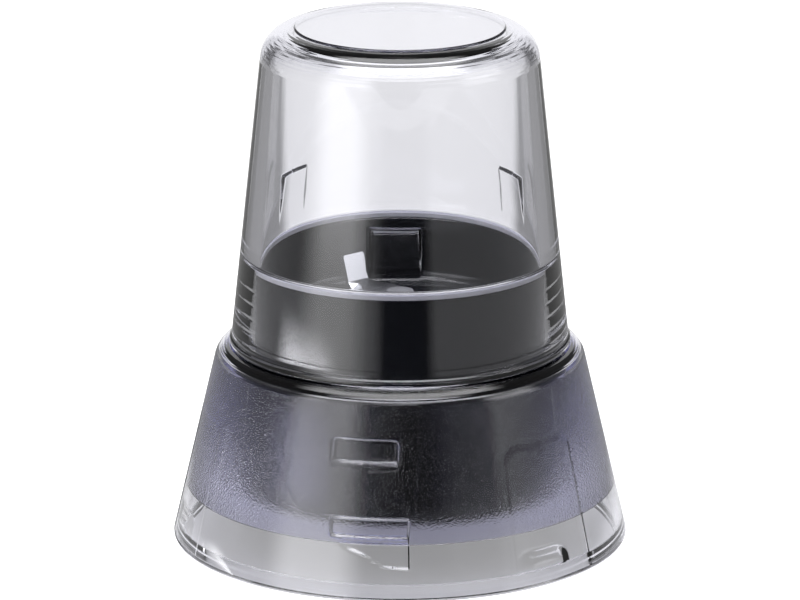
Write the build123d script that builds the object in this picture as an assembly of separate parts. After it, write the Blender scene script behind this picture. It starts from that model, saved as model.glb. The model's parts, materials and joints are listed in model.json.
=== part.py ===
from build123d import *
import os
from math import atan, cos, degrees, pi, radians, sin, tan

os.makedirs("parts", exist_ok=True)

# Dry-mill attachment of a table-top blender: a clear cup stands mouth down on a dark
# bowl with the cutter in it, and a clear flared skirt sits over the motor unit.
# Millimetres. Z is the spindle axis, the foot of the skirt is at z = 0, and the side
# with the drive windows that faces the viewer is -Y. Azimuths are counted from -Y
# towards +X.

# Skirt
foot_radius = 56.5
skirt_height = 49.2
skirt_wall = 2.5
shoulder_round = 4.5
foot_round = 0.7
foot_land_width = 3.4
foot_land_height = 3.4
seat_step_height = 12.8
seat_step_depth = 0.25
ledge_thickness = 3.0
ring_gap = 4.45
sector_count = 3

# Dark bowl and collar
bowl_outer_radius = 36.7
bowl_wall = 2.2
bowl_rise = 20.7
bowl_floor_rise = 4.6
bowl_floor_thickness = 2.4
bowl_floor_round = 3.0
bowl_seat_width = 2.5
spigot_length = 5.4
spigot_wall = 2.0
collar_bore_radius = 37.5
collar_wall = 3.0
collar_taper = 0.6
collar_shoulder_round = 2.0
collar_length = 32.2
web_depth = 6.4
web_thickness = 2.4
web_hole_radius = 14.0
web_rib_count = 6
web_rib_thickness = 1.6
web_rib_height = 5.0

# Screws that clamp the skirt between bowl and collar
screw_inset = 6.2
screw_radius = 1.5
screw_head_radius = 2.9
screw_head_height = 2.0
screw_grip = 8.0
screw_recess_span = 3.2
screw_recess_width = 0.7
screw_recess_depth = 1.0
boss_radius = 3.6

# Cup
cup_mouth_gap = 0.3
cup_socket_wall = 4.8
cup_lean = 6.0
cup_rise = 57.4
cup_top_round = 8.5
cup_lip_width = 0.4
cup_lip_height = 1.4
cup_wall_lean = 4.05
cup_end_thickness = 4.3
cup_corner_round = 5.0
cup_disc_radius = 25.8
cup_disc_rise = 0.5
socket_lead_in = 0.8
baffle_azimuth = -2.0
baffle_rise = 15.4
baffle_width = 19.8
baffle_depth = 1.3
seal_thickness = 1.7
seal_bead = 0.35

# Bearing
stem_radius = 5.0
housing_flange_radius = 9.5
housing_flange_thickness = 1.6
housing_bore_radius = 4.0
stem_length = 17.9
gasket_thickness = 0.6
hub_radius = 11.0
hub_depth = 4.4
nut_across_flats = 14.0
nut_thickness = 4.0
washer_thickness = 0.8
washer_radius = 8.6
upper_bush_length = 5.0
lower_bush_length = 5.5
seal_pocket_radius = 4.6
seal_pocket_depth = 2.4

# Spindle and cutter
shaft_radius = 2.5
shaft_collar_radius = 4.2
shaft_collar_thickness = 1.6
shaft_flat = 2.0
blade_thickness = 1.5
blade_span = 52.0
blade_width = 11.0
blade_hub_length = 17.0
blade_droop = 8.0
blade_turn = 4.0
blade_bevel = 2.2
seat_washer_thickness = 0.5
cap_washer_thickness = 0.3
cap_washer_radius = 4.4
cap_radius = 3.7
cap_thickness = 1.2
cap_shank_radius = 1.25
cap_shank_length = 8.0
clip_thickness = 0.8
clip_radius = 5.2
clip_groove_depth = 0.6
clip_pad_width = 34.0
clip_pad_spacing = 70.0

# Drive coupling
coupling_radius = 12.0
coupling_length = 17.1
coupling_gap = 0.9
coupling_mouth_radius = 8.2
coupling_mouth_depth = 2.2
spline_count = 12
spline_root_radius = 7.5
spline_tip_radius = 6.2
spline_depth = 9.6
grip_count = 12
grip_radius = 0.9
hub_across_flats = 11.0

# Drive windows and bayonet lugs on the skirt's inner wall
lug_projection = 1.9
upper_lug_azimuth = -10.4
upper_lug_width = 20.0
upper_lug_low = 30.4
upper_lug_high = 36.8
lower_lug_azimuth = -8.4
lower_lug_width = 21.0
lower_lug_low = 14.2
lower_lug_high = 18.6
ramp_projection = 0.6
ramp_foot = 7.3
pocket_azimuth = 41.1
pocket_width = 14.8
pocket_height = 8.4
pocket_slope_width = 1.2
pocket_slope_height = 2.6
pocket_corner = 3.0
pocket_step_depth = 0.6
pocket_depth = 1.2
window_azimuth = 43.6
window_width = 25.4
window_height = 33.5
window_corner = 3.5
window_depth = 0.25

# Corners rounded by less than this are moulded or turned as plain bevels
smallest_round = 0.6

# Part of an edge that a rounding may take up: beside another rounding, and beside none
shared_edge = 0.45
whole_edge = 0.99

# Clearances
slip = 0.3
fit_gap = 0.1
running_gap = 0.04
bond_gap = 0.02
axial_play = 0.2

# Heights and radii that follow from the sizes above
bowl_rim_height = skirt_height + bowl_rise
bowl_floor_height = skirt_height + bowl_floor_rise
ledge_foot = skirt_height - ledge_thickness
web_top = ledge_foot - web_depth
web_foot = web_top - web_thickness
collar_foot_height = ledge_foot - collar_length
floor_foot = bowl_floor_height - bowl_floor_thickness
hub_foot = floor_foot - hub_depth
gasket_top = bowl_floor_height + gasket_thickness
housing_top = gasket_top + housing_flange_thickness
collar_step = housing_top + slip
seat_height = collar_step + shaft_collar_thickness
blade_foot = seat_height + seat_washer_thickness
blade_top = blade_foot + blade_thickness
cap_foot = blade_top + cap_washer_thickness
cap_top = cap_foot + cap_thickness
housing_foot_height = gasket_top - stem_length
thrust_foot = housing_foot_height - axial_play - washer_thickness
clip_top = thrust_foot - axial_play
clip_foot = clip_top - clip_thickness
coupling_top_height = clip_foot - coupling_gap
coupling_foot_height = coupling_top_height - coupling_length
ledge_height = bowl_rim_height + seal_thickness
cup_mouth_height = skirt_height + cup_mouth_gap
cup_height_top = ledge_height + cup_rise
spigot_radius = bowl_outer_radius - bowl_seat_width
seat_bore = spigot_radius + fit_gap
screw_circle_radius = spigot_radius - screw_inset
collar_foot_radius = collar_bore_radius + collar_wall
collar_shoulder_radius = collar_foot_radius - collar_taper
foot_land_radius = foot_radius - foot_land_width
skirt_lean = atan((foot_radius - collar_foot_radius - ring_gap) / skirt_height)
bowl_inner_radius = bowl_outer_radius - bowl_wall
socket_radius = bowl_outer_radius + slip
cup_mouth_radius = socket_radius + cup_socket_wall
cup_ledge_radius = bowl_inner_radius + fit_gap
hub_socket_foot = coupling_foot_height + spline_depth


def eased_corner(before, corner, after, rounding, share_before, share_after):
    """Start, middle and end of the arc, or start and end of the bevel, at one corner."""
    to_before = before - corner
    to_after = after - corner
    half = radians(to_before.get_angle(to_after)) / 2
    room = min(share_before * to_before.length, share_after * to_after.length)
    reach = min(rounding / tan(half), room)
    radius = reach * tan(half)
    inward = (to_before.normalized() + to_after.normalized()).normalized()
    centre = corner + inward * (radius / sin(half))
    start = corner + to_before.normalized() * reach
    end = corner + to_after.normalized() * reach
    middle = centre - inward * radius if rounding >= smallest_round else None
    return start, middle, end


def outline(corners):
    """Flat face through corners (radius, height, rounding) in the XZ half plane."""
    points = [Vector(corner[0], 0, corner[1]) for corner in corners]
    shares = [shared_edge if len(corner) > 2 else whole_edge for corner in corners]
    stretches = []
    for index, corner in enumerate(corners):
        here = points[index]
        next_index = (index + 1) % len(points)
        after = points[next_index]
        rounding = corner[2] if len(corner) > 2 else 0
        if rounding > 0:
            room = (shares[index - 1], shares[next_index])
            stretches.append(eased_corner(points[index - 1], here, after, rounding, *room))
        else:
            stretches.append((here, None, here))
    edges = []
    for index, (start, middle, end) in enumerate(stretches):
        if middle is not None:
            edges.append(Edge.make_three_point_arc(start, middle, end))
        elif (end - start).length > 1e-6:
            edges.append(Edge.make_line(start, end))
        next_start = stretches[(index + 1) % len(stretches)][0]
        if (next_start - end).length > 1e-6:
            edges.append(Edge.make_line(end, next_start))
    return Face(Wire(edges))


def turned(*corners):
    """Solid of revolution about the spindle axis."""
    return revolve(outline(corners), axis=Axis.Z, revolution_arc=360)


def sector(azimuth, width, *corners):
    """Part of a ring, its middle at an azimuth from -Y towards +X."""
    ring = revolve(outline(corners), axis=Axis.Z, revolution_arc=width)
    return Rot(0, 0, azimuth - 90 - width / 2) * ring


def tube(inner, outer, low, high):
    return turned((inner, low), (outer, low), (outer, high), (inner, high))


def rod(radius, low, high):
    return Pos(0, 0, low) * extrude(Circle(radius), high - low)


def prism(sides, across_flats, low, high):
    """Upright bar with that many flats."""
    corner_radius = across_flats / 2 / cos(pi / sides)
    return Pos(0, 0, low) * extrude(RegularPolygon(corner_radius, sides), high - low)


def around(shape, count, radius=0, first=0):
    """Copies of a shape, moved out along X by a radius and spaced about the axis."""
    step = 360 / count
    return [Rot(0, 0, first + step * turn) * Pos(radius, 0, 0) * shape for turn in range(count)]


def all_sectors(shape):
    """The same feature in each of the skirt's sectors."""
    return [Rot(0, 0, 360 / sector_count * turn) * shape for turn in range(sector_count)]


def fuse(body, parts):
    for part in parts:
        body = body + part
    return body


def cut(body, parts):
    for part in parts:
        body = body - part
    return body


def skirt_outer(height):
    return foot_radius - height * tan(skirt_lean)


def skirt_inner(height):
    return skirt_outer(height) - skirt_wall / cos(skirt_lean)


def cup_outer(height):
    return cup_mouth_radius - (height - cup_mouth_height) * tan(radians(cup_lean))


def cup_inner(height):
    return cup_ledge_radius - (height - ledge_height) * tan(radians(cup_wall_lean))


def skirt_shell(low, high, inset, depth):
    """Band of the skirt's inner wall, from an inset inside it to a depth in its wall."""
    return turned(
        (skirt_inner(low) - inset, low),
        (skirt_inner(low) + depth, low),
        (skirt_inner(high) + depth, high),
        (skirt_inner(high) - inset, high),
    )


def wall_pattern(azimuth, points, rounding=0):
    """Prism that stands out from the axis, drawn in millimetres along and up the wall."""
    drawn = make_face(Polyline(*points, close=True))
    if rounding > 0:
        drawn = fillet(drawn.vertices(), rounding)
    plane = Plane(origin=(0, 0, 0), x_dir=(1, 0, 0), z_dir=(0, -1, 0))
    return Rot(0, 0, azimuth) * extrude(plane * drawn, foot_radius + skirt_wall)


def along_wall(azimuth_from_middle, height):
    """Place on a wall pattern for an angle from its middle, at the wall's radius."""
    return skirt_inner(height) * sin(radians(azimuth_from_middle)), height


def rim_pocket(side_inset, top_inset, depth):
    """Round-cornered recess in the inner wall, open at the rim."""
    half = skirt_inner(0) * sin(radians(pocket_width / 2)) - side_inset
    top = pocket_height - top_inset
    corners = [(-half, -top), (half, -top), (half, top), (-half, top)]
    drawn = wall_pattern(pocket_azimuth, corners, pocket_corner - side_inset)
    return drawn & skirt_shell(-foot_round, pocket_height, skirt_wall, seat_step_depth + depth)


def window_outline():
    """Upright panel that narrows with the wall, drawn down past the rim."""
    foot_half = foot_radius * sin(radians(window_width / 2))
    top_half = skirt_outer(window_height) * sin(radians(window_width / 2))
    drop = 2 * window_corner
    return [(-foot_half, -drop), (foot_half, -drop), (top_half, window_height), (-top_half, window_height)]


def make_skirt():
    """Clear flared skirt, one moulding, with lugs and a ramp in each sector."""
    shell = turned(
        (foot_land_radius, 0),
        (foot_radius, 0, foot_round),
        (skirt_outer(skirt_height), skirt_height, shoulder_round),
        (seat_bore, skirt_height),
        (seat_bore, ledge_foot),
        (skirt_inner(ledge_foot), ledge_foot, skirt_wall / 2),
        (skirt_inner(seat_step_height), seat_step_height),
        (skirt_inner(seat_step_height) + seat_step_depth, seat_step_height),
        (skirt_inner(foot_land_height) + seat_step_depth, foot_land_height),
        (foot_land_radius, foot_land_height),
    )
    mid_wall = skirt_wall / 2
    upper = sector(
        upper_lug_azimuth,
        upper_lug_width,
        (skirt_inner(upper_lug_low) + mid_wall, upper_lug_low),
        (skirt_inner(upper_lug_high) + mid_wall, upper_lug_high),
        (skirt_inner(upper_lug_high) - lug_projection, upper_lug_high, 0.4),
        (skirt_inner(upper_lug_low) - lug_projection, upper_lug_low + lug_projection, 0.4),
        (skirt_inner(upper_lug_low), upper_lug_low),
    )
    lower = sector(
        lower_lug_azimuth,
        lower_lug_width,
        (skirt_inner(lower_lug_low) + mid_wall, lower_lug_low),
        (skirt_inner(lower_lug_high) + mid_wall, lower_lug_high),
        (skirt_inner(lower_lug_high) - lug_projection, lower_lug_high, 0.4),
        (skirt_inner(lower_lug_low) - lug_projection, lower_lug_low, 0.4),
    )
    half = lower_lug_width / 2
    ramp_rise = lower_lug_low - ramp_foot
    ramp_points = [
        along_wall(-half + 1, lower_lug_low),
        along_wall(-half * 0.6, lower_lug_low - ramp_rise * 0.35),
        along_wall(-half * 0.2, lower_lug_low - ramp_rise * 0.55),
        along_wall(half * 0.3, ramp_foot),
        along_wall(half, ramp_foot),
        along_wall(half, lower_lug_low),
    ]
    ramp = wall_pattern(lower_lug_azimuth, ramp_points) & skirt_shell(
        ramp_foot, lower_lug_low, ramp_projection, mid_wall
    )
    shell = fuse(shell, all_sectors(upper) + all_sectors(lower) + all_sectors(ramp))
    outer_pocket = rim_pocket(0, 0, pocket_step_depth)
    inner_pocket = rim_pocket(pocket_slope_width, pocket_slope_height, pocket_depth)
    window = wall_pattern(window_azimuth, window_outline(), window_corner) & skirt_shell(
        -window_height, window_height, -skirt_wall / cos(skirt_lean) + window_depth, foot_radius
    )
    return cut(shell, all_sectors(outer_pocket) + all_sectors(inner_pocket) + all_sectors(window))


def make_bowl():
    """Dark bowl that stands on the skirt's ledge, with spigot, bearing hub and bosses."""
    spigot_foot = skirt_height - spigot_length
    body = turned(
        (stem_radius + fit_gap, hub_foot),
        (hub_radius, hub_foot, 0.5),
        (hub_radius, floor_foot),
        (spigot_radius - spigot_wall, floor_foot),
        (spigot_radius - spigot_wall, spigot_foot),
        (spigot_radius, spigot_foot, 0.4),
        (spigot_radius, skirt_height),
        (bowl_outer_radius, skirt_height, 0.3),
        (bowl_outer_radius, bowl_rim_height, 0.3),
        (bowl_inner_radius, bowl_rim_height, 0.3),
        (bowl_inner_radius, bowl_floor_height, bowl_floor_round),
        (stem_radius + fit_gap, bowl_floor_height),
    )
    boss = rod(boss_radius, web_top, floor_foot + bowl_floor_thickness / 2)
    pilot = rod(screw_radius + bond_gap, web_top, web_foot + screw_grip + axial_play)
    body = fuse(body, around(boss, sector_count, screw_circle_radius))
    return cut(body, around(pilot, sector_count, screw_circle_radius))


def make_collar():
    """Dark drive collar with a ribbed web that the screws pull up against the bowl."""
    bore = collar_bore_radius
    wall = turned(
        (bore, collar_foot_height),
        (collar_foot_radius, collar_foot_height, 0.6),
        (collar_shoulder_radius, ledge_foot, collar_shoulder_round),
        (seat_bore, ledge_foot),
        (seat_bore, web_top),
        (bore, web_top),
    )
    web = tube(web_hole_radius, bore + fit_gap, web_foot, web_top)
    lip = tube(web_hole_radius, web_hole_radius + web_rib_thickness, web_foot - web_rib_height, web_top)
    rib_length = bore - web_hole_radius + fit_gap - web_rib_thickness / 2
    rib = Pos(rib_length / 2, 0, web_foot - web_rib_height / 2) * Box(
        rib_length, web_rib_thickness, web_rib_height
    )
    half_step = 180 / web_rib_count
    ribs = around(rib, web_rib_count, web_hole_radius + web_rib_thickness / 2, half_step)
    hole = rod(screw_radius + fit_gap, web_foot - 1, web_top + 1)
    body = fuse(wall, [web, lip] + ribs)
    return cut(body, around(hole, sector_count, screw_circle_radius))


def make_collar_screws():
    """Three pan-head screws, heads under the web and shanks in the bowl's bosses."""
    screw = turned(
        (0, web_foot - screw_head_height),
        (screw_head_radius, web_foot - screw_head_height, 0.7),
        (screw_head_radius, web_foot),
        (screw_radius, web_foot),
        (screw_radius, web_foot + screw_grip, 0.3),
        (0, web_foot + screw_grip),
    )
    recess_place = Pos(0, 0, web_foot - screw_head_height + screw_recess_depth / 2)
    recess_arm = recess_place * Box(screw_recess_span, screw_recess_width, screw_recess_depth)
    driver = recess_arm + Rot(0, 0, 90) * recess_arm
    return Compound(children=around(screw - driver, sector_count, screw_circle_radius))


def make_cup():
    """Clear cup, mouth down, with a socket over the bowl and three baffles inside."""
    ceiling = cup_height_top - cup_end_thickness
    crest_height = cup_height_top - cup_disc_rise
    lip_top = cup_mouth_height + cup_lip_height
    wall = turned(
        (socket_radius + socket_lead_in, cup_mouth_height),
        (cup_outer(cup_mouth_height) + cup_lip_width, cup_mouth_height, 0.4),
        (cup_outer(lip_top) + cup_lip_width, lip_top, 0.4),
        (cup_outer(lip_top + cup_lip_width), lip_top + cup_lip_width),
        (cup_outer(crest_height), crest_height, cup_top_round),
        (cup_disc_radius, crest_height),
        (cup_disc_radius, cup_height_top, 0.3),
        (0, cup_height_top),
        (0, ceiling),
        (cup_inner(ceiling), ceiling, cup_corner_round),
        (cup_inner(ledge_height), ledge_height),
        (socket_radius, ledge_height, 0.2),
        (socket_radius, cup_mouth_height + socket_lead_in),
    )
    baffle_top = ledge_height + baffle_rise
    root = baffle_depth / 2
    baffle = sector(
        baffle_azimuth,
        baffle_width,
        (cup_inner(ledge_height) - baffle_depth, ledge_height),
        (cup_inner(ledge_height) + root, ledge_height),
        (cup_inner(baffle_top) + root, baffle_top),
        (cup_inner(baffle_top) - baffle_depth, baffle_top, 0.4),
    )
    return fuse(wall, all_sectors(baffle))


def make_cup_seal():
    """Soft ring between the cup's ledge and the bowl's rim, with a bead on top."""
    inner = bowl_inner_radius + fit_gap
    outer = socket_radius - fit_gap
    middle = (inner + outer) / 2
    top = ledge_height - seal_bead
    return turned(
        (inner, bowl_rim_height, 0.2),
        (outer, bowl_rim_height, 0.2),
        (outer, top, 0.2),
        (middle + seal_bead, top),
        (middle + seal_bead, ledge_height, 0.15),
        (middle - seal_bead, ledge_height, 0.15),
        (middle - seal_bead, top),
        (inner, top, 0.2),
    )


def make_housing():
    """Metal bearing stem, its flange on the bowl's floor and a pocket for the lip seal."""
    pocket_foot = housing_top - seal_pocket_depth
    return turned(
        (housing_bore_radius, housing_foot_height),
        (stem_radius, housing_foot_height, 0.4),
        (stem_radius, gasket_top),
        (housing_flange_radius, gasket_top),
        (housing_flange_radius, gasket_top + housing_flange_thickness * 0.6, 0.3),
        (seal_pocket_radius + housing_flange_thickness, housing_top, 0.3),
        (seal_pocket_radius, housing_top),
        (seal_pocket_radius, pocket_foot),
        (housing_bore_radius, pocket_foot),
    )


def make_upper_bush():
    top = housing_top - seal_pocket_depth
    return tube(shaft_radius + running_gap, housing_bore_radius - bond_gap, top - upper_bush_length, top)


def make_lower_bush():
    foot = housing_foot_height
    return tube(shaft_radius + running_gap, housing_bore_radius - bond_gap, foot, foot + lower_bush_length)


def make_shaft_seal():
    """Rubber lip seal in the housing's pocket."""
    foot = housing_top - seal_pocket_depth
    outer = seal_pocket_radius - bond_gap
    inner = shaft_radius + running_gap
    return turned(
        (inner + 0.8, foot),
        (outer, foot),
        (outer, housing_top, 0.2),
        (inner, housing_top, 0.2),
        (inner, housing_top - 0.8),
    )


def make_shaft():
    """Spindle with a seat for the cutter, a clip groove and a tapped top end."""
    clip_floor = shaft_radius - clip_groove_depth
    body = turned(
        (0, hub_socket_foot + 1),
        (shaft_radius, hub_socket_foot + 1, 0.4),
        (shaft_radius, clip_foot - bond_gap),
        (clip_floor, clip_foot - bond_gap),
        (clip_floor, clip_top + bond_gap),
        (shaft_radius, clip_top + bond_gap),
        (shaft_radius, collar_step),
        (shaft_collar_radius, collar_step, 0.2),
        (shaft_collar_radius, seat_height),
        (shaft_radius, seat_height),
        (shaft_radius, blade_top),
        (0, blade_top),
    )
    tap = rod(cap_shank_radius + bond_gap, cap_foot - cap_shank_length - axial_play, blade_top)
    flat_depth = shaft_radius - shaft_flat + fit_gap
    flat = Pos(0, shaft_flat + flat_depth / 2, (seat_height + blade_top) / 2) * Box(
        4 * shaft_radius, flat_depth, blade_top - seat_height
    )
    return body - tap - flat - Rot(0, 0, 180) * flat


def spindle_hole(low, high):
    """Hole with two flats that turns with the spindle."""
    radius = shaft_radius + bond_gap
    across = 2 * (shaft_flat + bond_gap)
    height = high - low
    bar = Pos(0, 0, low + height / 2) * Box(2 * radius, across, height)
    return rod(radius, low, high) & bar


def make_seat_washer():
    ring = rod(shaft_collar_radius, seat_height, blade_foot)
    return ring - spindle_hole(seat_height, blade_foot)


def make_blade():
    """Stamped two-wing cutter with drooping wings and one bevelled edge on each."""
    half_width = blade_width / 2
    hub_half = blade_hub_length / 2
    reach = blade_span / 2 - hub_half
    tip_half = half_width * 0.55
    hub = Pos(0, 0, blade_foot + blade_thickness / 2) * Box(
        blade_hub_length, blade_width, blade_thickness
    )
    root = -blade_thickness
    wing_edges = [
        Line((root, -half_width), (0, -half_width)),
        Line((0, -half_width), (reach * 0.5, -half_width * 0.82)),
        Line((reach * 0.5, -half_width * 0.82), (reach, -tip_half * 0.4)),
        ThreePointArc((reach, -tip_half * 0.4), (reach * 1.02, tip_half * 0.6), (reach * 0.92, tip_half * 1.4)),
        ThreePointArc((reach * 0.92, tip_half * 1.4), (reach * 0.5, half_width * 1.06), (0, half_width)),
        Line((0, half_width), (root, half_width)),
        Line((root, half_width), (root, -half_width)),
    ]
    plate = extrude(make_face(wing_edges), blade_thickness)
    edge_run = atan((half_width * 0.82 - tip_half * 0.4) / (reach * 0.5))
    bevel_tool = Rot(45, 0, 0) * Box(reach * 2, blade_bevel, blade_bevel)
    bevel_place = Pos(reach * 0.75, -(half_width * 0.82 + tip_half * 0.4) / 2, blade_thickness)
    plate = plate - bevel_place * Rot(0, 0, degrees(edge_run)) * bevel_tool
    wing = Pos(hub_half, 0, blade_foot) * Rot(0, blade_droop, 0) * plate
    blade = fuse(hub, [wing, Rot(0, 0, 180) * wing])
    return Rot(0, 0, blade_turn) * blade - spindle_hole(blade_foot, blade_top)


def make_cap_washer():
    return tube(cap_shank_radius + fit_gap, cap_washer_radius, blade_top, cap_foot)


def make_cap_screw():
    """Low-head screw that holds the cutter, tapped into the top of the spindle."""
    return turned(
        (0, cap_foot - cap_shank_length),
        (cap_shank_radius, cap_foot - cap_shank_length, 0.2),
        (cap_shank_radius, cap_foot),
        (cap_radius, cap_foot),
        (cap_radius, cap_top, 0.35),
        (0, cap_top),
    )


def make_gasket():
    return tube(stem_radius + fit_gap, housing_flange_radius, bowl_floor_height, gasket_top)


def make_nut_washer():
    return tube(stem_radius + fit_gap, washer_radius, hub_foot - washer_thickness, hub_foot)


def make_housing_nut():
    """Hexagon nut that clamps the bearing stem under the bowl."""
    top = hub_foot - washer_thickness
    blank = prism(6, nut_across_flats, top - nut_thickness, top)
    corner_radius = nut_across_flats / 2 / cos(pi / 6)
    chamfered = turned(
        (0, top - nut_thickness),
        (nut_across_flats / 2, top - nut_thickness),
        (corner_radius, top - nut_thickness * 0.8),
        (corner_radius, top),
        (0, top),
    )
    return (blank & chamfered) - rod(stem_radius + bond_gap, top - nut_thickness, top)


def make_thrust_washer():
    return tube(shaft_radius + fit_gap, stem_radius + fit_gap, thrust_foot, thrust_foot + washer_thickness)


def make_circlip():
    """Open retaining ring with three inward pads in the spindle's groove."""
    floor = shaft_radius - clip_groove_depth + bond_gap
    ring = tube(shaft_radius + fit_gap * 3, clip_radius, clip_foot, clip_top)
    mouth_width = shaft_radius * 1.5
    mouth = Pos(clip_radius, 0, (clip_foot + clip_top) / 2) * Box(
        2 * clip_radius, mouth_width, clip_thickness
    )
    pad_corners = (
        (floor, clip_foot),
        (shaft_radius + fit_gap * 6, clip_foot),
        (shaft_radius + fit_gap * 6, clip_top),
        (floor, clip_top),
    )
    middle_pad = 270
    places = (middle_pad - clip_pad_spacing, middle_pad, middle_pad + clip_pad_spacing)
    pads = [sector(azimuth, clip_pad_width, *pad_corners) for azimuth in places]
    return fuse(ring - mouth, pads)


def make_coupling():
    """Moulded drive coupling: grips outside, splined socket below for the motor's driver."""
    socket_top = hub_socket_foot
    body = turned(
        (0, coupling_foot_height),
        (coupling_radius, coupling_foot_height, 0.8),
        (coupling_radius, coupling_top_height, 1.2),
        (0, coupling_top_height),
    )
    grip_low = coupling_foot_height + 2.5
    grip = rod(grip_radius, grip_low, coupling_top_height + 1)
    mouth = rod(coupling_mouth_radius, coupling_foot_height, coupling_foot_height + coupling_mouth_depth)
    bore = rod(spline_tip_radius, coupling_foot_height, socket_top)
    groove_width = pi * spline_tip_radius / spline_count
    groove_length = spline_root_radius
    groove = Pos(groove_length / 2, 0, (coupling_foot_height + socket_top) / 2) * Box(
        groove_length, groove_width, socket_top - coupling_foot_height
    )
    hub_hole = prism(6, hub_across_flats + 2 * bond_gap, socket_top, coupling_top_height)
    body = cut(body, [mouth, bore, hub_hole])
    body = cut(body, around(groove, spline_count))
    return cut(body, around(grip, grip_count, coupling_radius + grip_radius / 3))


def make_coupling_hub():
    """Hexagon metal insert, screwed on to the spindle inside the coupling."""
    blank = prism(6, hub_across_flats, hub_socket_foot, clip_foot - axial_play)
    return blank - rod(shaft_radius + bond_gap, hub_socket_foot + 1, clip_foot)


pieces = {
    "base_skirt": make_skirt,
    "blade_bowl": make_bowl,
    "drive_collar": make_collar,
    "collar_screws": make_collar_screws,
    "mill_cup": make_cup,
    "cup_seal": make_cup_seal,
    "bearing_housing": make_housing,
    "housing_gasket": make_gasket,
    "nut_washer": make_nut_washer,
    "housing_nut": make_housing_nut,
    "upper_bush": make_upper_bush,
    "lower_bush": make_lower_bush,
    "shaft_seal": make_shaft_seal,
    "thrust_washer": make_thrust_washer,
    "blade_shaft": make_shaft,
    "seat_washer": make_seat_washer,
    "cutter_blade": make_blade,
    "cap_washer": make_cap_washer,
    "cap_screw": make_cap_screw,
    "retaining_clip": make_circlip,
    "drive_coupling": make_coupling,
    "coupling_hub": make_coupling_hub,
}

for name, make in pieces.items():
    export_step(make(), f"parts/{name}.step")
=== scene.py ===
# %% [markdown]
# # A dry-mill attachment for a table-top blender
# The real object is a clear cup that stands mouth down on a dark bowl with a cutter,
# over a clear flared skirt that sits on the motor unit. The solids come from the CAD
# frame. This lesson dresses them: it makes the two clear mouldings again as smooth
# meshes, because glass shows every facet, and gives each piece its own finish.

# %% Load the frame
import json
from math import atan, atan2, cos, degrees, pi, radians, sin, sqrt, tan

import bmesh
import bpy
import numpy as np
from mathutils import Matrix, Vector


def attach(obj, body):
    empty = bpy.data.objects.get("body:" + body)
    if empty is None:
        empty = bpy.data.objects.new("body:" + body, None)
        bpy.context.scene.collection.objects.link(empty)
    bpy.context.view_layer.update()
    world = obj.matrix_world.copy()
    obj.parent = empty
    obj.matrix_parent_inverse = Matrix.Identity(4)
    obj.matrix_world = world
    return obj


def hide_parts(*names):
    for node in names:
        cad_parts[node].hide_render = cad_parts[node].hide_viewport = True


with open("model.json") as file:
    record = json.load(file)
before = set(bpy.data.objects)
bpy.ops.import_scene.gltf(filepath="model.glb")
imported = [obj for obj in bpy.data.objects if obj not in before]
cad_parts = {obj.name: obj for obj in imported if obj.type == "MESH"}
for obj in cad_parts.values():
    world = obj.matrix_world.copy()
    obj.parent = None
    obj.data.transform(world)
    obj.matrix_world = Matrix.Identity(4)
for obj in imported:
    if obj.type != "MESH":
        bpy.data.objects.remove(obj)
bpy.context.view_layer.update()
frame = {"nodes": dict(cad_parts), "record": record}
scene = bpy.context.scene
mm = 0.001

# %% [markdown]
# ## The camera
# The photograph looks down on the object at about sixteen degrees from far away, with
# a long lens, so upright lines hardly converge. The place and the focal length were
# worked out from the ellipses of the cup's mouth and the skirt's foot.

# %% Camera
lens_data = bpy.data.cameras.new("camera")
lens_data.sensor_width = 36
lens_data.lens = 259.5
lens_data.clip_end = 20
camera = bpy.data.objects.new("camera", lens_data)
camera.location = (0, -1.3665, 0.4551)
camera.rotation_euler = (radians(90 - 16.15), 0, 0)
scene.collection.objects.link(camera)
scene.camera = camera
print("camera at", [round(c, 3) for c in camera.location])

# %% [markdown]
# ## One helper for nodes and one for colours
# A material is a small graph. Building it in code stays readable when a single
# function adds a node, sets its inputs and links them. Colours are written as the
# sRGB hex values that a colour picker shows, and the renderer wants linear light.

# %% Node and colour helpers


def linear(hex_colour):
    """sRGB hex text to a linear RGBA tuple."""
    channels = [int(hex_colour[i:i + 2], 16) / 255 for i in (1, 3, 5)]
    light = [c / 12.92 if c <= 0.04045 else ((c + 0.055) / 1.055) ** 2.4 for c in channels]
    return (*light, 1.0)


def add(tree, kind, settings=None, **inputs):
    """Adds a node, sets its properties and inputs, and links inputs given as sockets."""
    node = tree.nodes.new(kind)
    for name, value in (settings or {}).items():
        setattr(node, name, value)
    for name, value in inputs.items():
        key = int(name[1:]) if name[0] == "_" and name[1:].isdigit() else name.replace("_", " ")
        socket = node.inputs[key]
        if isinstance(value, bpy.types.NodeSocket):
            tree.links.new(value, socket)
        else:
            socket.default_value = value
    return node


def new_material(name):
    """Empty material: its tree and its output node."""
    material = bpy.data.materials.new(name)
    material.use_nodes = True
    material.node_tree.nodes.clear()
    output = add(material.node_tree, "ShaderNodeOutputMaterial")
    return material, material.node_tree, output


print("white is", linear("#FFFFFF"))

# %% [markdown]
# ## Clear styrene plastic
# The cup is injection-moulded styrene-acrylonitrile, a stiff clear plastic with a
# high index of about 1.57 and a mirror finish. Thick paths through it look faintly
# violet. A glass shader alone would stop the lamps at the first wall, so shadow rays
# pass straight through, which lights the pieces inside at no cost in noise.

# %% Clear polished plastic


absorption = 10.0


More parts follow.
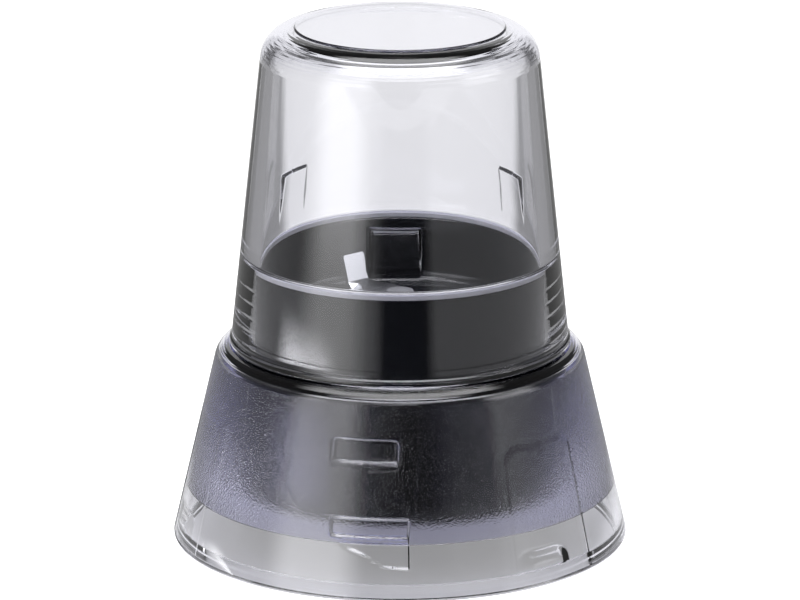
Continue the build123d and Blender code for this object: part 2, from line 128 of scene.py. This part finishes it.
def clear_plastic(name, roughness, grain_mm, grain_depth_mm, tint="#FCFCFD"):
    material, tree, output = new_material(name)
    place = add(tree, "ShaderNodeTexCoord").outputs["Object"]
    body = add(tree, "ShaderNodeBsdfPrincipled", Base_Color=linear(tint), Roughness=roughness, IOR=1.57)
    body.inputs["Transmission Weight"].default_value = 1.0
    if grain_mm:
        speckle = add(tree, "ShaderNodeTexNoise", Vector=place, Scale=1 / (grain_mm * mm), Detail=2.0, Roughness=0.6)
        relief = add(tree, "ShaderNodeBump", Height=speckle.outputs["Fac"], Strength=1.0, Distance=grain_depth_mm * mm)
        tree.links.new(relief.outputs["Normal"], body.inputs["Normal"])
    path = add(tree, "ShaderNodeLightPath")
    through = add(tree, "ShaderNodeBsdfTransparent", Color=linear("#E6E6EC"))
    mixed = add(tree, "ShaderNodeMixShader", _0=path.outputs["Is Shadow Ray"], _1=body.outputs[0], _2=through.outputs[0])
    tree.links.new(mixed.outputs[0], output.inputs["Surface"])
    tinted = add(tree, "ShaderNodeVolumeAbsorption", Color=(0.40, 0.40, 0.83, 1.0), Density=absorption)
    tree.links.new(tinted.outputs[0], output.inputs["Volume"])
    return material


polished_clear = clear_plastic("clear styrene, polished", 0.0, 0, 0)
grained_clear = clear_plastic("clear styrene, spark-eroded grain", 0.0, 0.5, 0.16)
print("clear finishes:", polished_clear.name, "|", grained_clear.name)

# %% [markdown]
# ## Dark moulded plastic
# The bowl and the collar are moulded in near-black filled plastic, polished enough to
# mirror lamps softly. Most of what the eye sees is reflection, so the base is very
# dark. A faint waviness breaks the highlights the way real mouldings do.

# %% Dark plastic and the other finishes


def moulded(name, colour, roughness, grain_mm, relief_mm, ior=1.5, metallic=0.0):
    material, tree, output = new_material(name)
    place = add(tree, "ShaderNodeTexCoord").outputs["Object"]
    speckle = add(tree, "ShaderNodeTexNoise", Vector=place, Scale=1 / (grain_mm * mm), Detail=3.0)
    tone = add(tree, "ShaderNodeMapRange", Value=speckle.outputs["Fac"], To_Min=roughness * 0.85, To_Max=roughness * 1.15)
    relief = add(tree, "ShaderNodeBump", Height=speckle.outputs["Fac"], Strength=0.3, Distance=relief_mm * mm)
    body = add(tree, "ShaderNodeBsdfPrincipled", Base_Color=linear(colour), Metallic=metallic,
               Roughness=tone.outputs[0], Normal=relief.outputs["Normal"])
    if not metallic:
        body.inputs["IOR"].default_value = ior
    tree.links.new(body.outputs[0], output.inputs["Surface"])
    return material


dark_plastic = moulded("dark filled plastic, semi-gloss", "#17181A", 0.12, 1.2, 0.01)
grey_silicone = moulded("silicone rubber, translucent grey", "#B9B9BC", 0.45, 0.8, 0.01, ior=1.41)
black_rubber = moulded("nitrile rubber, black", "#161616", 0.6, 0.5, 0.02)
ground_steel = moulded("stainless steel, ground", "#B4B5B7", 0.22, 0.4, 0.004, metallic=1.0)
plated_steel = moulded("steel, zinc plated", "#A3A5A8", 0.35, 0.5, 0.005, metallic=1.0)
turned_alloy = moulded("aluminium, turned", "#ADAEB0", 0.3, 0.4, 0.005, metallic=1.0)
bronze = moulded("bronze, sintered and oiled", "#8A6B45", 0.45, 0.3, 0.02, metallic=1.0)
white_nylon = moulded("nylon, natural white", "#D5D2C9", 0.4, 0.8, 0.01, ior=1.53)
black_nylon = moulded("nylon, black", "#1B1B1D", 0.4, 0.8, 0.01, ior=1.53)
finishes = {
    "dark_plastic": dark_plastic, "soft_seal": grey_silicone, "black_rubber": black_rubber,
    "polished_steel": ground_steel, "plain_steel": plated_steel, "cast_alloy": turned_alloy,
    "sintered_bronze": bronze, "white_nylon": white_nylon, "black_nylon": black_nylon,
    "clear_skirt": polished_clear, "clear_cup": polished_clear,
}
slot_of = {part["node"]: part["material_slot"] for part in frame["record"]["subparts"]}
for node_name, node in frame["nodes"].items():
    node.data.materials.clear()
    node.data.materials.append(finishes[slot_of[node_name]])
body_of = {name: body for body, names in frame["record"]["behaviour"]["bodies"].items() for name in names}
print("finishes given to", len(slot_of), "nodes")

# %% [markdown]
# ## Smooth copies of the dark pieces
# The CAD nodes come as loose triangles, and a glossy wall shows them as flats. A copy
# with its doubles merged and its corners kept sharp shades as the smooth moulding.

# %% Smooth copies


def smooth_copy(node_name, sharp_degrees=28):
    node = frame["nodes"][node_name]
    mesh = node.data.copy()
    work = bmesh.new()
    work.from_mesh(mesh)
    bmesh.ops.remove_doubles(work, verts=work.verts, dist=0.002 * mm)
    for face in work.faces:
        face.smooth = True
    for edge in work.edges:
        if len(edge.link_faces) == 2 and edge.calc_face_angle(0) > radians(sharp_degrees):
            edge.smooth = False
    work.to_mesh(mesh)
    work.free()
    if mesh.has_custom_normals:
        bpy.context.view_layer.update()
    piece = bpy.data.objects.new(node_name + ".smooth", mesh)
    scene.collection.objects.link(piece)
    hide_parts(node_name)
    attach(piece, body_of[node_name])
    return piece


for dark_name in ("blade_bowl", "drive_collar", "cup_seal", "cap_screw", "bearing_housing"):
    copied = smooth_copy(dark_name)
    print(copied.name, len(copied.data.polygons), "faces")

# %% [markdown]
# ## The cutter
# The cutter is pressed from sheet steel with its ends turned up, so that it throws food
# back to the middle. A strip is lofted along a bent line: five points make its section,
# with the leading edge ground thin, and every station of the line turns that section.

# %% Cutter
blade_foot, blade_top, blade_azimuth = 58.4, 59.9, 127.3
thick, flat_end, bend_radius, turned_up, tip_rise, hub_end = 1.5, 17.3, 1.6, 70, 6.6, 9.0


def cutter_line():
    """Stations of one wing: distance out, height, slope of the strip and half width."""
    stations = [(s, blade_foot, 0.0, w) for s, w in ((0.0, 5.5), (8.5, 5.5), (12.0, 4.7), (15.0, 3.8), (flat_end, 3.4))]
    for step in range(1, 9):
        slope = radians(turned_up) * step / 8
        stations.append((flat_end + bend_radius * sin(slope), blade_foot + bend_radius * (1 - cos(slope)), slope, 3.3))
    s, z, slope, width = stations[-1]
    for run, narrowing in ((0.5, 0.0), (0.92, 0.0), (1.0, 0.5)):
        stations.append((s + tip_rise * run * cos(slope), z + tip_rise * run * sin(slope), slope, width - narrowing))
    return stations


def cutter_section(s, z, slope, width, side):
    """Six corners of the strip at a station. The edge that leads as it turns is thin."""
    ground = hub_end < s < flat_end - 0.1
    lead, trail = ((2.0, 0.3) if ground else (0.05, thick - 0.05)), (0.05, thick - 0.05)
    left, right = (trail, lead) if side > 0 else (lead, trail)
    corners = [(-width, 0), (-width, left[1]), (-width + left[0], thick),
               (width - right[0], thick), (width, right[1]), (width, 0)]
    return [(side * (s - sin(slope) * up) * mm, across * mm, (z + cos(slope) * up) * mm) for across, up in corners]


wing = cutter_line()
stations = [(*station, -1) for station in reversed(wing[1:])] + [(*station, 1) for station in wing]
work = bmesh.new()
sections = [[work.verts.new(corner) for corner in cutter_section(*station)] for station in stations]
for before, after in zip(sections, sections[1:]):
    for k in range(6):
        work.faces.new((before[k], before[(k + 1) % 6], after[(k + 1) % 6], after[k]))
work.faces.new(sections[0])
work.faces.new(list(reversed(sections[-1])))
bmesh.ops.recalc_face_normals(work, faces=work.faces)
bmesh.ops.rotate(work, verts=work.verts, cent=(0, 0, 0), matrix=Matrix.Rotation(radians(blade_azimuth), 3, "Z"))
for face in work.faces:
    face.smooth = True
for edge in work.edges:
    edge.smooth = edge.calc_face_angle(0) < radians(20)
strip_mesh = bpy.data.meshes.new("cutter strip")
work.to_mesh(strip_mesh)
work.free()
strip_mesh.materials.append(ground_steel)
strip = bpy.data.objects.new("cutter strip", strip_mesh)
scene.collection.objects.link(strip)
bpy.ops.mesh.primitive_cylinder_add(vertices=48, radius=2.55 * mm, depth=8 * mm, location=(0, 0, blade_foot * mm))
punch = bpy.context.object
hole = strip.modifiers.new("spindle hole", "BOOLEAN")
hole.object = punch
hole.solver = "EXACT"
bpy.context.view_layer.update()
punched = bpy.data.meshes.new_from_object(strip.evaluated_get(bpy.context.evaluated_depsgraph_get()))
cutter = bpy.data.objects.new("cutter_blade.turned_up", punched)
scene.collection.objects.link(cutter)
bpy.data.objects.remove(strip)
bpy.data.objects.remove(punch)
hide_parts("cutter_blade")
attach(cutter, body_of["cutter_blade"])
print("cutter:", len(punched.polygons), "faces, top at", round(max(v.co.z for v in punched.vertices) / mm, 1), "mm")

# %% [markdown]
# ## Lathe meshes
# The cup and the skirt are bodies of revolution with small features on their inner
# walls. A grid of rings and upright lines, closer together where a feature starts or
# ends, follows both: every ring sits at its profile point, and a function moves the
# inner wall in or out at each azimuth, so lugs and recesses grow out of one skin.

# %% Profile and lathe helpers


def profile(corners, spacing=1.6, arc_steps=6):
    """Points along a closed outline of (radius, height, rounding, tag) corners, in mm."""
    points = []
    count = len(corners)
    for index, (r, z, rounding, tag) in enumerate(corners):
        here = Vector((r, z))
        before = Vector(corners[index - 1][:2])
        after = Vector(corners[(index + 1) % count][:2])
        if rounding:
            a, b = before - here, after - here
            half = a.angle(b) / 2
            share_a, share_b = (0.45 if corners[k % count][2] > 1 else 0.9 for k in (index - 1, index + 1))
            reach = min(rounding / tan(half), share_a * a.length, share_b * b.length)
            radius = reach * tan(half)
            centre = here + (a.normalized() + b.normalized()).normalized() * (radius / sin(half))
            start, end = here + a.normalized() * reach, here + b.normalized() * reach
            turn = (start - centre).angle(end - centre)
            steps = max(2, int(arc_steps * turn / (pi / 2)) + 1)
            side = 1 if (start - centre).cross(end - centre) > 0 else -1
            for step in range(steps + 1):
                angle = side * turn * step / steps
                spun = Matrix.Rotation(angle, 2) @ (start - centre)
                points.append((*(centre + spun), tag if step == steps else ""))
        else:
            points.append((r, z, tag))
    filled = []
    for index, (r, z, tag) in enumerate(points):
        filled.append((r, z, tag))
        nr, nz, _ = points[(index + 1) % len(points)]
        length = sqrt((nr - r) ** 2 + (nz - z) ** 2)
        if length > 0.7:
            pieces = max(1, int(length / spacing))
            stops = sorted({0.12 / length, 1 - 0.12 / length, *[k / pieces for k in range(1, pieces)]})
            filled += [(r + (nr - r) * s, z + (nz - z) * s, tag) for s in stops]
    return filled


def lathe(name, points, azimuths, shift, materials, slot_for_tag):
    """Closed mesh from profile points turned through azimuths, shifted radially by tag."""
    verts, rings = [], []
    for r, z, tag in points:
        if r < 1e-6:
            rings.append([len(verts)] * len(azimuths))
            verts.append((0, 0, z * mm))
            continue
        moved = r + (shift(azimuths, z, tag) if shift else 0)
        moved = np.broadcast_to(moved, azimuths.shape)
        first = len(verts)
        a = np.radians(azimuths)
        verts += list(zip(moved * np.sin(a) * mm, -moved * np.cos(a) * mm, np.full(a.shape, z * mm)))
        rings.append(list(range(first, first + len(azimuths))))
    faces, slots = [], []
    count, around = len(points), len(azimuths)
    for i in range(count):
        low, high = rings[i], rings[(i + 1) % count]
        if low[0] == low[1] and high[0] == high[1]:
            continue
        for j in range(around):
            k = (j + 1) % around
            corner = [low[j], low[k], high[k], high[j]]
            unique = list(dict.fromkeys(corner))
            faces.append(unique)
            slots.append(slot_for_tag.get(points[i][2], 0))
    mesh = bpy.data.meshes.new(name)
    mesh.from_pydata(verts, [], faces)
    mesh.polygons.foreach_set("material_index", slots)
    mesh.polygons.foreach_set("use_smooth", [True] * len(faces))
    for material in materials:
        mesh.materials.append(material)
    work = bmesh.new()
    work.from_mesh(mesh)
    if work.calc_volume(signed=True) < 0:
        bmesh.ops.reverse_faces(work, faces=work.faces)
    work.to_mesh(mesh)
    work.free()
    piece = bpy.data.objects.new(name, mesh)
    scene.collection.objects.link(piece)
    print(name, len(verts), "points", len(faces), "faces")
    return piece


def ramp_between(value, edge, width):
    """0 below an edge, 1 above it, eased over a width."""
    t = np.clip((value - edge) / width + 0.5, 0, 1)
    return t * t * (3 - 2 * t)


def band(value, low, high, width):
    return ramp_between(value, low, width) * (1 - ramp_between(value, high, width))


def wrapped(azimuth, middle):
    """Angle from the nearest copy of a feature that repeats in every sector."""
    return (azimuth - middle + 60) % 120 - 60


def upright_lines(edges, coarse, soft):
    """Azimuths all round: an even spread plus close lines at each feature's edges."""
    lines = set(np.round(np.arange(-180, 180, coarse), 4))
    for edge in edges:
        for sector in (-120, 0, 120):
            for step in (-1, -0.5, 0, 0.5, 1):
                angle = (edge + sector + step * soft + 180) % 360 - 180
                lines.add(round(float(angle), 4))
    lines = sorted(lines)
    kept = [lines[0]]
    for line in lines[1:]:
        if line - kept[-1] > 0.02:
            kept.append(line)
    return np.array(kept)


# %% [markdown]
# ## The cup
# One moulding: a tapered wall with a flat closed end, a wider socket at its mouth that
# goes over the bowl, and three shallow baffles that break up the swirl of the food.
# The socket's wall carries short thread grooves at its left and right.

# %% Cup
cup_mouth, crest, cup_top, ledge, ceiling = 49.5, 128.5, 129.0, 71.6, 124.7
cup_lean, cup_wall_lean = 6.0, 4.05


def cup_outer(z):
    return 41.8 - (z - cup_mouth) * tan(radians(cup_lean))


def cup_inner(z):
    return 34.6 - (z - ledge) * tan(radians(cup_wall_lean))


cup_profile = profile([
    (37.8, cup_mouth, 0.15, "outer"),
    (cup_outer(cup_mouth) + 0.4, cup_mouth, 0.4, "outer"),
    (cup_outer(50.9) + 0.4, 50.9, 0.35, "outer"),
    (cup_outer(51.3), 51.3, 0.3, "outer"),
    (cup_outer(crest), crest, 8.5, "outer"),
    (25.8, crest, 0.15, "outer"),
    (25.8, cup_top, 0.3, "outer"),
    (0, cup_top, 0, "axis"),
    (0, ceiling, 0, "inner"),
    (cup_inner(ceiling), ceiling, 5.0, "wall"),
    (cup_inner(ledge), ledge, 0.2, "ledge"),
    (37.0, ledge, 0.2, "socket"),
    (37.0, 50.3, 0.2, "mouth"),
], arc_steps=10)
baffle_middle, baffle_half, baffle_top, baffle_depth = -2.0, 9.9, 87.0, 1.1
thread_pitch, thread_depth, thread_lead = 3.5, 0.07, 10.5


def cup_shift(azimuth, z, tag):
    if tag == "wall":
        rise = band(z, ledge - 2, baffle_top, 0.5)
        depth = baffle_depth * np.clip((z - 76) / (baffle_top - 76), 0, 1)
        return -depth * rise * band(wrapped(azimuth, baffle_middle), -baffle_half, baffle_half, 1.0)
    if tag == "socket":
        side = band(np.abs(np.abs(azimuth) - 90), -90, 22, 6)
        phase = ((z - 50.2 - thread_lead * azimuth / 360) / thread_pitch + 0.5) % 1 - 0.5
        ridge = np.clip(1 - (phase / 0.09) ** 2, 0, 1)
        return thread_depth * ridge * side * band(z, 51.6, 68.0, 0.8)
    return 0 * azimuth


cup_rings = []
for index, (r, z, tag) in enumerate(cup_profile):
    cup_rings.append((r, z, tag))
    if tag in ("wall", "socket"):
        nr, nz, _ = cup_profile[(index + 1) % len(cup_profile)]
        fine = 0.25 if tag == "socket" or abs(z - baffle_top) < 1.5 else 1.6
        parts = int(sqrt((nr - r) ** 2 + (nz - z) ** 2) / fine)
        cup_rings += [(r + (nr - r) * k / parts, z + (nz - z) * k / parts, tag) for k in range(1, parts)]
cup_lines = upright_lines([baffle_middle - baffle_half, baffle_middle + baffle_half], 1.5, 0.45)
cup = lathe("mill_cup.clear", cup_rings, cup_lines, cup_shift, [polished_clear], {})
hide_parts("mill_cup")
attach(cup, "cup")

# %% [markdown]
# ## The skirt
# The inside of the skirt is grained by spark erosion, the outside is polished. Each of
# its three sectors has a flat strip where a mould slide drew back, with an upper lug,
# a lower lug and a ramp on it, and beside it a thinner window panel that ends in a
# pocket at the rim.

# %% Skirt
foot_radius, skirt_top, shoulder_radius, skirt_wall = 56.5, 49.2, 44.95, 2.5
skirt_lean = atan((foot_radius - shoulder_radius) / skirt_top)
ledge_foot, seat_step, land_height = 46.2, 12.8, 3.4


def skirt_outer(z):
    return foot_radius - z * tan(skirt_lean)


def skirt_inner(z):
    return skirt_outer(z) - skirt_wall / cos(skirt_lean)


skirt_profile = profile([
    (53.1, 0, 0.15, "foot"),
    (foot_radius, 0, 0.7, "outer"),
    (skirt_outer(skirt_top), skirt_top, 4.5, "top"),
    (34.3, skirt_top, 0.15, "top"),
    (34.3, ledge_foot, 0.15, "under"),
    (skirt_inner(ledge_foot), ledge_foot, 1.25, "grain"),
    (skirt_inner(seat_step), seat_step, 0.1, "step"),
    (skirt_inner(seat_step) + 0.25, seat_step, 0.1, "seat"),
    (skirt_inner(land_height) + 0.25, land_height, 0.15, "land"),
    (53.1, land_height, 0.2, "land"),
], arc_steps=8)
strip_middle, strip_half = -8.6, 11.15
panel_middle, panel_half, panel_top = 43.6, 12.7, 33.5
pocket_middle, pocket_half, pocket_top = 41.1, 7.4, 8.4


def rounded_box(across, up, half_width, low, high, corner, soft):
    """1 inside a round-cornered box drawn in mm on the wall, 0 outside, eased."""
    middle, half_height = (low + high) / 2, (high - low) / 2
    dx = np.abs(across) - (half_width - corner)
    dy = np.abs(up - middle) - (half_height - corner)
    outside = np.hypot(np.maximum(dx, 0), np.maximum(dy, 0)) + np.minimum(np.maximum(dx, dy), 0) - corner
    return 1 - ramp_between(outside, 0, soft)


def skirt_shift(azimuth, z, tag):
    if tag == "outer":
        across = np.radians(wrapped(azimuth, panel_middle)) * skirt_outer(z)
        half = radians(panel_half) * skirt_outer(z)
        return -0.2 * rounded_box(across, z, half, -20, panel_top, 3.5, 0.9)
    if tag not in ("grain", "step", "seat"):
        return 0 * azimuth
    radius = skirt_inner(z)
    across = np.radians(wrapped(azimuth, strip_middle)) * radius
    out = 0.12 * (1 - ramp_between(np.abs(across), strip_half, 0.25)) * ramp_between(z, 13.5, 0.3)
    upper = rounded_box(np.radians(wrapped(azimuth, -10.4)) * radius, z, 7.9, 30.4, 37.0, 1.2, 0.7)
    slope = np.clip((z - 30.4) / 1.9, 0.25, 1)
    lower = rounded_box(np.radians(wrapped(azimuth, -8.4)) * radius, z, 9.4, 14.2, 18.6, 0.5, 0.6)
    angle = wrapped(azimuth, -8.4)
    edge_x = [-10.5, -8.4, -6.0, -1.5, 3.9, 10.5]
    edge_z = [14.2, 14.3, 11.9, 10.5, 7.6, 7.2]
    low_edge = np.interp(angle, edge_x, edge_z)
    ramp = band(angle, -9.6, 10.7, 0.5) * ramp_between(z, low_edge, 0.5) * (1 - ramp_between(z, 14.4, 0.4))
    out = out - 1.9 * upper * slope - 1.9 * lower - 0.7 * ramp
    pocket_across = np.radians(wrapped(azimuth, pocket_middle)) * radius
    half = radians(pocket_half) * radius
    steps = [rounded_box(pocket_across, z, half - 0.3 * k, -20, pocket_top - 0.65 * k, 3.0 - 0.3 * k, 0.5) for k in range(5)]
    return out + 0.24 * sum(steps)


skirt_rings = []
for index, (r, z, tag) in enumerate(skirt_profile):
    skirt_rings.append((r, z, tag))
    if tag in ("grain", "seat", "outer"):
        nr, nz, _ = skirt_profile[(index + 1) % len(skirt_profile)]
        mid = (z + nz) / 2
        near = 13 < mid < 19.5 or 29.5 < mid < 38 if tag == "grain" else mid < 12
        fine = 0.38 if tag != "outer" and near else 0.5 if tag == "outer" and 29 < mid < 34.5 else 1.2
        parts = int(sqrt((nr - r) ** 2 + (nz - z) ** 2) / fine)
        skirt_rings += [(r + (nr - r) * k / parts, z + (nz - z) * k / parts, tag) for k in range(1, parts)]
strip_turn = degrees(strip_half / 48)
skirt_lines = upright_lines(
    [strip_middle - strip_turn, strip_middle + strip_turn, -20.2, -0.6, -18.7, 2.0,
     panel_middle - panel_half, panel_middle + panel_half, -18.0, 2.3], 1.3, 0.44)
skirt = lathe("base_skirt.clear", skirt_rings, skirt_lines, skirt_shift,
              [polished_clear, grained_clear], {"grain": 1})
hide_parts("base_skirt")
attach(skirt, "base")

# %% [markdown]
# ## The studio
# A pale floor and a pale surround, with one large lamp above, softer ones at the sides
# and cards near the floor. Glossy dark walls mirror what lies low around them, so the
# cards decide where the collar looks bright and where it stays black.

# %% Floor and surround
table_glow, room_level, sweep_level, side_level = 0.30, 0.30, 1.0, 0.34
left_glow, top_glow, right_glow, upper_level = 2.6, 5.0, 2.0, 0.12
floor_mesh = bpy.data.meshes.new("floor")
floor_mesh.from_pydata([(-3, -3, 0), (3, -3, 0), (3, 3, 0), (-3, 3, 0)], [], [(0, 1, 2, 3)])
floor = bpy.data.objects.new("floor", floor_mesh)
floor.location = (0, 0, -0.0004)
scene.collection.objects.link(floor)
paper, tree, output = new_material("white paper, matt")
path = add(tree, "ShaderNodeLightPath")
reflected = add(tree, "ShaderNodeMath", {"operation": "MAXIMUM"},
                _0=path.outputs["Is Glossy Ray"], _1=path.outputs["Is Transmission Ray"])
level = add(tree, "ShaderNodeMath", {"operation": "MULTIPLY"}, _0=reflected.outputs[0], _1=table_glow)
level = add(tree, "ShaderNodeMath", {"operation": "MAXIMUM"},
            _0=level.outputs[0], _1=path.outputs["Is Camera Ray"])
matt = add(tree, "ShaderNodeBsdfDiffuse", Color=linear("#A8A8AA"))
glow = add(tree, "ShaderNodeEmission", Color=(1, 1, 1, 1), Strength=level.outputs[0])
both = add(tree, "ShaderNodeAddShader", _0=matt.outputs[0], _1=glow.outputs[0])
tree.links.new(both.outputs[0], output.inputs["Surface"])
floor_mesh.materials.append(paper)


# %% Soft-edged shapes for light
def turn_and_rise(tree, place):
    """Azimuth from -Y towards +X, elevation and distance, all as sockets."""
    split = add(tree, "ShaderNodeSeparateXYZ", _0=place)
    ahead = add(tree, "ShaderNodeMath", {"operation": "MULTIPLY"}, _0=split.outputs["Y"], _1=-1.0)
    turn = add(tree, "ShaderNodeMath", {"operation": "ARCTAN2"}, _0=split.outputs["X"], _1=ahead.outputs[0])
    far = add(tree, "ShaderNodeVectorMath", {"operation": "LENGTH"}, _0=place)
    sine = add(tree, "ShaderNodeMath", {"operation": "DIVIDE"}, _0=split.outputs["Z"], _1=far.outputs["Value"])
    rise = add(tree, "ShaderNodeMath", {"operation": "ARCSINE"}, _0=sine.outputs[0])
    return turn.outputs[0], rise.outputs[0], far.outputs["Value"]


def inside(tree, limits):
    """1 inside every (value, low, high, softness), 0 outside, with smooth edges."""
    share = None
    for value, low, high, soft in limits:
        for start, end in ((low - soft, low + soft), (high + soft, high - soft)):
            ease = add(tree, "ShaderNodeMapRange", {"interpolation_type": "SMOOTHSTEP"}, Value=value,
                       From_Min=start, From_Max=end, To_Min=0.0, To_Max=1.0).outputs[0]
            share = ease if share is None else add(
                tree, "ShaderNodeMath", {"operation": "MULTIPLY"}, _0=share, _1=ease).outputs[0]
    return share


# %% Surround
world = bpy.data.worlds.new("surround")
scene.world = world
world.use_nodes = True
tree = world.node_tree
tree.nodes.clear()
turn, rise, far = turn_and_rise(tree, add(tree, "ShaderNodeTexCoord").outputs["Generated"])
# each light of the room: middle azimuth, half width, low and high elevation, softness, level
room_lights = [
    (0, 400, 6, 100, 6, upper_level),
    (2, 24, -40, 38, 7, 0.03),
    (-46, 20, -30, 40, 9, left_glow),
    (75, 18, 6, 36, 6, right_glow),
    (0, 400, 60, 100, 6, top_glow),
]
shade = add(tree, "ShaderNodeValue")
shade.outputs[0].default_value = room_level
level = shade.outputs[0]
for middle, half, low, high, soft, value in room_lights:
    share = inside(tree, [(turn, radians(middle - half), radians(middle + half), radians(min(soft, half))),
                          (rise, radians(low), radians(high), radians(soft))])
    level = add(tree, "ShaderNodeMix", _0=share, _2=level, _3=value).outputs[0]
back = inside(tree, [(add(tree, "ShaderNodeMath", {"operation": "ABSOLUTE"}, _0=turn).outputs[0],
                      radians(162), radians(200), radians(3)), (rise, radians(-90), radians(30), radians(8))])
level = add(tree, "ShaderNodeMix", _0=back, _2=level, _3=sweep_level).outputs[0]
path = add(tree, "ShaderNodeLightPath")
plain = add(tree, "ShaderNodeBackground", Color=(0.98, 0.98, 1.0, 1), Strength=level)
white = add(tree, "ShaderNodeBackground", Color=(1, 1, 1, 1), Strength=1.0)
mixed = add(tree, "ShaderNodeMixShader", _0=path.outputs["Is Camera Ray"], _1=plain.outputs[0], _2=white.outputs[0])
tree.links.new(mixed.outputs[0], add(tree, "ShaderNodeOutputWorld").inputs["Surface"])


# %% Cards and lamps
def card(name, low, high, near, far, strength, soft_turn, soft_run, lift=0.0002):
    """Sector of card on the floor with soft edges, seen only in reflections and through plastic."""
    angles = np.radians(np.linspace(low - soft_turn, high + soft_turn, 33))
    rims = (max(near - soft_run, 0.0), far + soft_run)
    corners = [(r * sin(a), -r * cos(a), lift) for r in rims for a in angles]
    mesh = bpy.data.meshes.new(name)
    mesh.from_pydata(corners, [], [(i, i + 1, i + 34, i + 33) for i in range(32)])
    material, tree, output = new_material(name)
    turned = add(tree, "ShaderNodeVectorRotate", {"rotation_type": "Z_AXIS"},
                 Vector=add(tree, "ShaderNodeTexCoord").outputs["Object"], Angle=-radians((low + high) / 2))
    turn, rise, run = turn_and_rise(tree, turned.outputs[0])
    half = radians((high - low) / 2)
    share = inside(tree, [(turn, -half, half, radians(soft_turn)), (run, near, far, soft_run)])
    light = add(tree, "ShaderNodeEmission", Color=(1, 1, 1, 1), Strength=strength)
    clear = add(tree, "ShaderNodeBsdfTransparent")
    mixed = add(tree, "ShaderNodeMixShader", _0=share, _1=clear.outputs[0], _2=light.outputs[0])
    tree.links.new(mixed.outputs[0], output.inputs["Surface"])
    mesh.materials.append(material)
    piece = bpy.data.objects.new(name, mesh)
    piece.visible_camera = piece.visible_diffuse = piece.visible_shadow = False
    scene.collection.objects.link(piece)
    return piece


card("table", -179, 179, 0.09, 2.4, side_level, 0.5, 0.03, 0.0001)
card("sweep", 162, 198, 0.075, 2.4, sweep_level, 2.5, 0.01)
card("pale_card", -66, -28, 0.45, 2.4, 2.6, 12.0, 0.12, 0.0003)
card("bright_card", -84, -48, 0.10, 0.145, 9.0, 10.0, 0.025, 0.0004)
card("black_card", -14, 21, 0.075, 2.6, 0.0, 5.0, 0.01, 0.0005)


def lamp(name, place, target, width, height, radiance):
    """Rectangular soft lamp. Its power follows from the radiance wanted and its area."""
    data = bpy.data.lights.new(name, "AREA")
    data.shape = "RECTANGLE"
    data.size, data.size_y = width, height
    data.energy = radiance * pi * width * height
    piece = bpy.data.objects.new(name, data)
    piece.location = place
    piece.rotation_mode = "QUATERNION"
    piece.rotation_quaternion = (Vector(target) - Vector(place)).to_track_quat("-Z", "Y")
    piece.visible_camera = piece.visible_glossy = piece.visible_transmission = False
    scene.collection.objects.link(piece)
    return piece


lamp("top_lamp", (0, 0.1, 1.6), (0, 0, 0.06), 1.2, 1.0, 2.0)
lamp("left_lamp", (-0.95, -0.85, 0.45), (0, 0, 0.06), 0.6, 0.7, 3.0)
scene.view_settings.view_transform = "Standard"
scene.cycles.max_bounces = 32
scene.cycles.transmission_bounces = 32
scene.cycles.transparent_max_bounces = 32
scene.cycles.use_denoising = True
print("studio ready")
